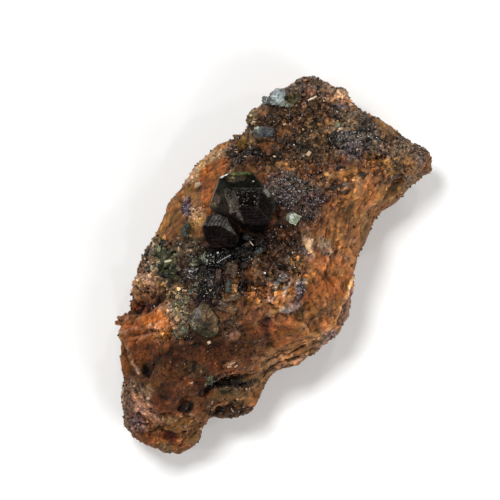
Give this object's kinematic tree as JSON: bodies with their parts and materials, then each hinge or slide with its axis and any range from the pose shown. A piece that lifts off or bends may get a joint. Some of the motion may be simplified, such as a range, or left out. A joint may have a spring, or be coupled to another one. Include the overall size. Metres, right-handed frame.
{
  "type": "mineral specimen",
  "caption": "Irregular skarn rock resting on its flat back, with dark vesuvianite crystals and pale green clinochlore grown on its crusted upper side.",
  "frame": {"origin": "on the flat back of the rock, under the middle of its outline", "axes": "+Y runs up the long side of the specimen, +Z points out of the crystal side, away from the flat back"},
  "size_m": [0.0477, 0.0566, 0.0298],
  "materials": {
    "rusty_matrix": "rough, iron-stained broken rock with a crust of small dark grains",
    "black_vesuvianite": "glossy, nearly black crystal faces with fine growth lines",
    "coated_vesuvianite": "dull olive-grey crystal with a thin tan film",
    "grey_vesuvianite": "satin blue-grey crystal",
    "green_clinochlore": "satin green leafy crust",
    "pale_clinochlore": "pearly, pale grey-green translucent plates"
  },
  "bodies": {
    "root": {"matrix": "rusty_matrix", "vesuvianite_pair": "black_vesuvianite", "vesuvianite_coated": "coated_vesuvianite", "vesuvianite_upper": "grey_vesuvianite", "clinochlore_bank": "green_clinochlore", "clinochlore_top": "pale_clinochlore", "clinochlore_middle": "pale_clinochlore"}
  },
  "joints": []
}
